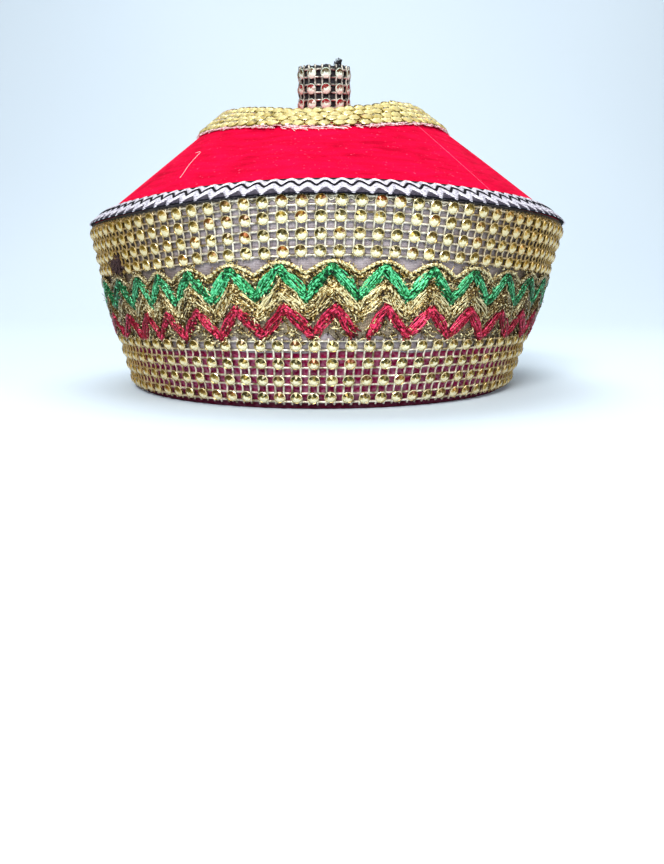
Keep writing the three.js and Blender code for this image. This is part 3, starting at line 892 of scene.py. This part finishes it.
zigzag_middles = dict(
    gold=gold_valley + (gold_peak - gold_valley) * gold_share,
    green=green_valley + (green_peak - green_valley) * limb_share,
    red=red_valley + (red_peak - red_valley) * limb_share,
)
sideways = np.sin(lace_angle(middle)) ** 2
cleared = cleared_front - cleared_less_aside * sideways
for colour, middle_line in zigzag_middles.items():
    thick = zigzag_half_widths[colour]
    inside = (np.abs(snip_up - middle_line) < thick) & (chance.random((snips, 1)) < cleared)
    beside = middle_line + np.sign(snip_up - middle_line) * chance.uniform(1, 2, (snips, 1)) * thick
    snip_up = np.where(inside, beside, snip_up)
above = chance.random((snips, 1)) < strays_front + strays_more_aside * sideways
snip_up = np.where(above, scallop + chance.uniform(*stray_height_mm, (snips, 1)) * MM, snip_up)
share = np.linspace(-1, 1, snip_steps)[None, :]
half = chance.uniform(*snip_half_mm, (snips, 1)) * MM
slant = np.where(chance.random((snips, 1)) < 0.6, np.sign(np.sin(2 * math.pi * middle)) * -0.85, 0)
slant = slant + chance.normal(0, 0.5, (snips, 1))
curl = chance.normal(0, 0.6, (snips, 1))
heading = slant + curl * share
phase = middle + half * share * np.cos(heading) / (2 * lace_step)
along = snip_up + half * share * np.sin(heading)
lift = (chance.uniform(*snip_lift_mm, (snips, 1)) + 0.5 * (1 - share**2)) * MM
# Painted glints: each snip is painted a random brightness.
painted_light = chance.random((snips, 1)) ** 1.5 * 1.3 + 0.05 + 0 * share
tinsel = strands("lace_tinsel", phase, along, lift, snip_radius, gold_thread, painted_light)
end_middle = chance.uniform(0, lace_count, (ends, 1))
share = np.linspace(0, 1, end_steps)[None, :]
heading = chance.uniform(0, 2 * math.pi, (ends, 1)) + share
end_length = chance.uniform(*end_length_mm, (ends, 1)) * MM
phase = end_middle + end_length * share * np.cos(heading) / (2 * lace_step)
along = chance.uniform(*end_height_mm, (ends, 1)) * MM + end_length * share * np.sin(heading)
lift = MM * share * chance.uniform(*end_lift_mm, (ends, 1))
loose_ends = strands("lace_loose_ends", phase, along, lift, end_radius, gold_thread, 0.6 + 0 * lift)
for piece in (tinsel, loose_ends):
    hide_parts("lace_gold_zigzag")
    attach(piece, "root")

# The scallops: a gold cord of two twisted plies, lightened to cream-gold by painted highlight, couched in
# scallops over the green points, on a flat one of three strands that shows below it, darkened to brown-gold
# by painted shade.
cord_radius = 0.72 * MM
cord_peak, cord_valley = 52.6 * MM, 48.4 * MM
cord_turns_per_scallop = 6
cord_steps_per_scallop = 36
cord_out = lace_lift + 1.0 * MM
under_strand_radius = 0.34 * MM
under_strand_gap = 0.45 * MM
under_cord_drop_mm, under_cord_sink = 1.3, 0.9
phase = np.arange(lace_count * cord_steps_per_scallop)[None, :] / cord_steps_per_scallop
angle = lace_angle(phase)
climb = (np.sqrt(np.cos(math.pi * phase) ** 2 + 0.02) - math.sqrt(0.02)) ** 0.9
along = cord_valley + (cord_peak - cord_valley) * climb - lace_fall(angle)
centre = on_wall(along, angle, np.full_like(along, cord_out))
normal = on_wall(along, angle, np.full_like(along, cord_out + MM)) - centre
ahead = np.roll(centre, -1, 1) - np.roll(centre, 1, 1)
across = np.cross(normal / MM, ahead / np.linalg.norm(ahead, axis=-1, keepdims=True))
ply = np.arange(2)[:, None] * math.pi + 2 * math.pi * cord_turns_per_scallop * phase
plies = centre + 0.5 * cord_radius * (across * np.cos(ply)[..., None] + normal / MM * np.sin(ply)[..., None])
facing = np.broadcast_to(normal, plies.shape)
# Painted highlight on the cord's plies.
gleam = np.full(plies.shape[:2], 0.75)
cord = tubes("lace_cord", plies, facing, 0.55 * cord_radius, 6, True, gold_thread, gleam)
strand = np.arange(3)[:, None, None] - 1
under = centre - across * under_cord_drop_mm * MM - normal * under_cord_sink
under = under + across * chance.normal(0, 0.12 * MM, (3, 1, 1)) + across * strand * under_strand_gap
facing = np.broadcast_to(normal, under.shape)
# Painted shade on the strands under the cord.
gleam = np.full(under.shape[:2], 0.2)
under_cord = tubes("lace_under_cord", under, facing, under_strand_radius, 4, True, gold_thread, gleam)
for piece in (cord, under_cord):
    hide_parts("lace_gold_cord")
    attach(piece, "root")

# The shoulder: a cone of the same velvet from the rim up to the tip, stiffened but softly uneven. A pale
# cotton thread has come loose on its left, through places of (degrees round from the front, mm up the
# slope), and its sewn seam shows as a thin pink line on the right.
shoulder_columns = 360
shoulder_rows = np.linspace(0, shoulder_length, 40)
braid_top = 9.2 * MM
dent_waves = [(0.35 * MM, 5, 0.6), (0.25 * MM, 9, 2.1), (0.12 * MM, 17, 0)]
loose_places = [(-38.6, 21.2), (-39.6, 25.4), (-41.7, 33.3), (-43.4, 42.5), (-44.6, 43.9), (-46.4, 43.6)]
loose_radius = 0.09 * MM
seam_azimuth, seam_swerve = 39.2, 4.9 / (63 * MM)
seam_radius, seam_stand = 0.14 * MM, 0.02 * MM


def satin_material(name, dark, light, roughness, metallic, gloss=0.5):
    """Flat metallised satin thread laid side by side, its colour painted light and dark in fine slanting
    lines as a painted sheen.
    """
    material, tree, shader = new_material(name)
    stretch = add_node(tree, "ShaderNodeMapping", Vector=own_place(tree), Scale=(1, 1, 3)).outputs["Vector"]
    thread = mottle(tree, stretch, 1100, 2)
    # Painted sheen: the colour runs from dark to light along a stretched noise.
    tree.links.new(colour_ramp(tree, thread, (0.35, dark), (0.6, light)), shader.inputs["Base Color"])
    relief(tree, shader, thread, 0.35)
    shader.inputs["Metallic"].default_value = metallic
    shader.inputs["Roughness"].default_value = roughness
    shader.inputs["Specular IOR Level"].default_value = gloss
    return material


bow = np.sin(math.pi * shoulder_rows / shoulder_length)
around = turns(shoulder_columns)
dents = waved(dent_waves, around)
shoulder_out = [(row, dents * swell) for row, swell in zip(shoulder_rows, bow)]
inner_rows, inner_bow = shoulder_rows[::-3], bow[::-3]
shoulder_in = [(row, dents * swell - shell_thickness) for row, swell in zip(inner_rows, inner_bow)]
shoulder_section = shoulder_out + shoulder_in
shoulder_velvet = band_piece("velvet_shoulder", on_shoulder, shoulder_section, shoulder_columns, red_velvet)

stops = np.linspace(0, len(loose_places) - 1, 31)
place_number = np.arange(len(loose_places))
loose_angle = np.interp(stops, place_number, np.radians([place[0] for place in loose_places]))[None, :]
loose_along = np.interp(stops, place_number, [place[1] for place in loose_places])[None, :] * MM
loose_along = loose_along + 0.25 * MM * np.sin(stops * 2.3)
pale_cotton = satin_material("pale loose cotton", "#f2b8c4", "#fff0f2", 0.8, 0.0)
loose_thread = laid_tubes(
    "loose_thread", on_shoulder, loose_along, loose_angle, 0.35 * MM, loose_radius, False, pale_cotton
)

seam_along = np.linspace(braid_top, shoulder_length * 0.8, 60)[None, :]
seam_angle = np.radians(seam_azimuth + seam_swerve * seam_along)
seam_lift = np.sin(math.pi * seam_along / shoulder_length) * np.interp(seam_angle[0], around, dents)[None, :]
seam_lift = seam_lift + seam_stand
pink_cotton = satin_material("pink sewing thread", "#c40c3c", "#f24c74", 0.8, 0.0)
seam = laid_tubes(
    "shoulder_seam", on_shoulder, seam_along, seam_angle, seam_lift, seam_radius, False, pink_cotton
)
for piece in (shoulder_velvet, loose_thread, seam):
    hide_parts("shoulder_velvet")
    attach(piece, "root")

# The rim braid: a black woven braid with two rows of silver satin zigzag, sewn over the mesh's raw edge.
# A thin black line runs between the silver rows, and a row of dark satin teeth hangs below them.
# On the sides the braid is narrower than at the front, where it droops over the mesh.
braid_reach = 8.7 * MM
braid_side_overhang, braid_droop = 1.6 * MM, 2.0 * MM
braid_base = 0.7 * MM
braid_points = 108
braid_columns = braid_points * 12
silver_rise = 0.4 * MM
point_sharpness = 0.9
around = turns(braid_columns)
braid_over = braid_side_overhang + braid_droop * np.cos(around) ** 2
braid_stretch = (braid_reach + braid_over) / (braid_reach + braid_side_overhang + braid_droop)
braid_phase = (around * braid_points / (2 * math.pi)) % 1
saw = np.arcsin(point_sharpness * np.cos(2 * math.pi * braid_phase)) / math.asin(point_sharpness)
limb_fullness = 0.35 + 0.65 * np.abs(np.sin(2 * math.pi * braid_phase))


def satin_row(name, low_mm, low_swing_mm, high_mm, high_swing_mm, rise, material):
    """A zigzag satin row: a low dome whose two edges swing up and down, sunk where the limbs meet."""
    low = braid_reach - (braid_reach - low_mm * MM - low_swing_mm * MM * saw) * braid_stretch
    high = braid_reach - (braid_reach - high_mm * MM - high_swing_mm * MM * saw) * braid_stretch
    base = clearance + braid_base
    section = [(low, base - 0.2 * MM)]
    for share in np.linspace(0, 1, 6):
        dome = rise * limb_fullness * math.sin(math.pi * share) ** 0.5
        section.append((low + (high - low) * share, base + dome))
    section.append((high, base - 0.2 * MM))
    return band_piece(name, on_shoulder, section, braid_columns, material)


black_braid = satin_material("black braid ground", "#060509", "#1a1820", 0.8, 0.0, 0.1)
silver_satin = satin_material("silver satin thread", "#938d9e", "#f0ecf4", 0.35, 0.25)
tooth_satin = satin_material("dark satin teeth", "#0e0c12", "#4c4654", 0.7, 0.0, 0.2)
low, high = -braid_over, np.full(braid_columns, braid_reach - 0.4 * MM)
flat = clearance + braid_base
braid_section = [
    (low, clearance), (low, flat * 0.8), (low + 0.3 * MM, flat),
    (high - 0.3 * MM, flat), (high, flat * 0.8), (high, clearance),
]
braid = band_piece("braid_ground", on_shoulder, braid_section, braid_columns, black_braid)
# Each row is given by its lower edge and its upper edge, in mm up the slope, each with how far it swings.
silver_high = satin_row("braid_silver_high", 4.2, 1.8, 7.3, 1.0, silver_rise, silver_satin)
silver_low = satin_row("braid_silver_low", -2.0, 2.4, 3.0, 1.8, silver_rise, silver_satin)
line = satin_row("braid_line", 2.6, 1.8, 4.6, 1.8, 1.35 * silver_rise, black_braid)
teeth = satin_row("braid_teeth", -3.5, 0, -1.9, 2.3, 0.5 * silver_rise, tooth_satin)
for piece in (braid, silver_low, silver_high, line, teeth):
    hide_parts("rim_braid")
    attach(piece, "root")

# The tip: a flat round of the same velvet let into the top of the shoulder, slightly full in the middle.
# It leans forward with the shoulder's upper edge and meets it all round.
tip_columns = 180
tip_shares = np.linspace(0.02, 1, 26)
tip_swell = 0.9 * MM
tip_flat_share = 0.55


def tip_plane(x, y, lift):
    """The tip's level, which leans forward."""
    return np.stack([x, y, tip["height"] + y * 2 * tip["lean"] / tip["depth"] + lift], -1)


def tip_sheet(lift):
    """Rings from the middle out: on the tip's plane inside, and meeting the shoulder's edge outside."""
    angle = turns(tip_columns)[None, :]
    rim_points = on_shoulder(np.full_like(angle, shoulder_length), angle, lift)
    rim_points = rim_points - clearance * outward(tip, angle)
    share = tip_shares[:, None]
    x = rim_points[..., 0] * share + tip["shift"] * (1 - share)
    flat = tip_plane(x, rim_points[..., 1] * share, lift + tip_swell * (1 - share**2) * (lift >= 0))
    settle = (np.clip(share - tip_flat_share, 0, 1) / (1 - tip_flat_share))[..., None] ** 2
    return flat * (1 - settle) + rim_points * settle


tip_points = np.concatenate([tip_sheet(0.0), tip_sheet(-shell_thickness)[::-1]])
tip_rows = len(tip_shares) * 2
tip_velvet = mesh_object("velvet_tip", tip_points, grid_faces(tip_rows, tip_columns, True, True), red_velvet)
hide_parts("tip_velvet")
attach(tip_velvet, "root")

# The tip's mesh: the same stone mesh, gathered round the edge of the tip so that its stones crowd together.
# Its selvedge is cut, and a fringe of pink-white cotton hangs from its lower edge, widest at the front.
# Shares of the strip's height run from 0 at its lower edge to 1 at its upper edge.
tip_stone_columns = 68
tip_stone_rows = np.array([0.125, 0.375, 0.625, 0.875]) * MM
tip_stone_first = 0.02
tip_stone_radius = 2.5 * MM
tip_stone_unevenness = 3.2
tip_net_margin = 0.45
tip_bar_radius = 0.34 * MM
tip_net_lift = clearance + bar_radius
tip_reach = 0.206 * shoulder_length
tip_front_reach = 0.08 * shoulder_length
tip_pucker = 1.1 * MM
fringe_share, fringe_front_share = 0.03, 0.15
fringe_count = 700
fringe_radius = 0.17 * MM
fringe_half_mm, fringe_lift_mm = (0.6, 1.6), (0.1, 0.8)


def on_tip_strip(share, angle, lift):
    """Point of the tip's strip: share 0 is its lower edge, deepest at the front, and 1 is its upper edge."""
    reach = tip_reach + tip_front_reach * bell(np.asarray(angle), 0, 28)
    pucker = tip_pucker * bell(np.asarray(angle), 39, 8) * np.clip(share, 0, 1)
    return on_shoulder(shoulder_length * 0.995 - (1 - share) * reach, angle, lift + pucker)


def on_tip_stones(along, angle, lift):
    """Point of the stony part of the strip: along is in strip heights of 1 mm from its lower edge."""
    fringe = 0.05 + 0.13 * bell(np.asarray(angle), 0, 28)
    return on_tip_strip(fringe + (1 - fringe) * np.asarray(along) / MM, angle, lift)


pale_stone = stone_material("foil-backed pale stone", "#6a5c20", "#a8743c", "#c4a83e", "#ecdc98", mirror=0.4)
olive_net = gold_net_material("dull olive net", "#3e3412", "#a8964a")
net = net_piece(
    "net_tip", on_tip_stones, tip_stone_rows, tip_stone_columns, tip_stone_first, tip_net_margin,
    tip_net_lift, olive_net, tip_bar_radius,
)
stones = stones_piece(
    "stones_tip", on_tip_stones, tip_stone_rows, tip_stone_columns, tip_stone_first, tip_net_lift, pale_stone,
    radius=tip_stone_radius, uneven=tip_stone_unevenness,
)
fringe_angle = chance.uniform(0, 2 * math.pi, (fringe_count, 1))
fringe_reach = fringe_share + fringe_front_share * bell(fringe_angle, 0, 28)
share = chance.uniform(0, 1, (fringe_count, 1)) * fringe_reach
reach = np.linspace(-1, 1, 4)[None, :] * chance.uniform(*fringe_half_mm, (fringe_count, 1)) * MM
heading = chance.normal(0, 0.5, (fringe_count, 1))
lift = clearance + chance.uniform(*fringe_lift_mm, (fringe_count, 1)) * MM + 0 * reach
share = share + reach * np.sin(heading) / tip_reach
angle = fringe_angle + reach * np.cos(heading) * 2 / tip["width"]
fringe_cotton = satin_material("pink-white cotton fringe", "#c25a70", "#fff2ee", 0.8, 0.0)
fringe = laid_tubes("tip_fringe", on_tip_strip, share, angle, lift, fringe_radius, False, fringe_cotton)
for piece in (net, stones, fringe):
    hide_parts("tip_mesh")
    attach(piece, "root")

# The finial: a short roll of black cloth standing on the tip, wrapped in one length of stone mesh.
# The cloth is tucked in at the top, and one loose corner of it stands up. The stones of the lower two rows
# carry a painted reflection of the red velvet in their upper facets.
finial_shift = -1.3 * MM
finial_height = 20.9 * MM
finial_radius = 12.4 * MM
finial_columns = 11
finial_rows = finial_height - np.array([16.75, 10.45, 4.15]) * MM
# How strongly each row's dark facets are painted with a reflection of the red velvet, from the lowest row up.
finial_red_reflection = (1.0, 0.9, 0.1)
finial_first = 2 * math.pi / finial_columns * 0.12
finial_net_margin = 0.58
finial_bar_radius = 0.5 * MM
finial_stone_height = 1.0 * MM
finial_net_lift = clearance + bar_radius
finial_core = finial_radius - 1.6 * MM - clearance
finial_lean = math.atan(2 * tip["lean"] / tip["depth"])
cloth_columns = 66
cloth_girth_mm = 60
pleat_waves = [(0.25 * MM, 13, 0), (0.2 * MM, 7, 1)]
scraps = 22
scrap_azimuth = math.radians(43)
scrap_radius = 0.22 * MM
scrap_rise_mm = (0.8, 2.6)


def on_finial(along, angle, lift):
    """Point of the finial's round side, in its own leaning frame on the tip."""
    along, angle, lift = np.broadcast_arrays(along, np.asarray(angle, float), lift)
    radius = finial_core + lift
    x, y = finial_shift + radius * np.sin(angle), -radius * np.cos(angle)
    cos_lean, sin_lean = math.cos(finial_lean), math.sin(finial_lean)
    level, up = y * cos_lean - along * sin_lean, y * sin_lean + along * cos_lean
    return np.stack([x, level, tip["height"] + clearance + up], -1)


black_cloth = woven_material("black cotton cloth", "#08080b", "#2c2c34", 0.5, 0.9, 0.6)
pleat = waved(pleat_waves, turns(cloth_columns))
core_rows = [
    (0.0, -finial_core * 0.98),
    (0.0, -0.3 * MM),
    (0.4 * MM, 0),
    (finial_height - 1.6 * MM, 0),
    (finial_height - 0.7 * MM + pleat, -0.5 * MM),
    (finial_height - 0.7 * MM + pleat, -1.2 * MM),
    (finial_height - 1.2 * MM + pleat, -2.2 * MM),
    (finial_height - 2.3 * MM + pleat, -finial_core * 0.6),
    (finial_height - 2.0 * MM, -finial_core * 0.98),
]
# How far along the cloth each of these rows lies, in mm.
core_row_mm = [0, 9, 10, 30, 31, 32, 33, 36, 45]
core = band_piece("finial_cloth", on_finial, core_rows, cloth_columns, black_cloth)
cloth_map(core, len(core_rows), cloth_columns, cloth_girth_mm, core_row_mm)
silver_net = gold_net_material("gunmetal-coated net", "#2c2824", "#dcd6c6")
# The clear stones' dark_warm colour is the painted red reflection of the velvet.
clear_stone = stone_material(
    "foil-backed clear stone", "#4a3c18", "#8a0410", "#b4c0a0", "#e2f8e6", mirror=0.1
)
net = net_piece(
    "net_finial", on_finial, finial_rows, finial_columns, finial_first, finial_net_margin,
    finial_net_lift, silver_net, finial_bar_radius,
)
stones = stones_piece(
    "stones_finial", on_finial, finial_rows, finial_columns, finial_first, finial_net_lift, clear_stone,
    height=finial_stone_height, reflected_red_rows=finial_red_reflection,
)
scrap_angle = chance.normal(scrap_azimuth, 0.1, (scraps, 1))
rise = np.linspace(-0.6, 1, 6)[None, :] * chance.uniform(*scrap_rise_mm, (scraps, 1)) * MM
sway = chance.normal(0.1, 0.1, (scraps, 1)) * rise / finial_radius * 4
bend = chance.normal(-1.2 * MM, 0.5 * MM, (scraps, 1)) + chance.normal(0, 0.4, (scraps, 1)) * rise
frayed_cotton = satin_material("frayed black cotton", "#050507", "#26262c", 0.85, 0.0)
scrap = laid_tubes(
    "finial_scrap", on_finial, finial_height + rise, scrap_angle + sway, bend, scrap_radius, False,
    frayed_cotton,
)
for piece, node, slot in (
    (core, "finial_core", "black_cloth"),
    (scrap, "finial_core", "black_cloth"),
    (net, "finial_mesh", "mesh"),
    (stones, "finial_mesh", "mesh"),
):
    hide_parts(node)
    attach(piece, "root")
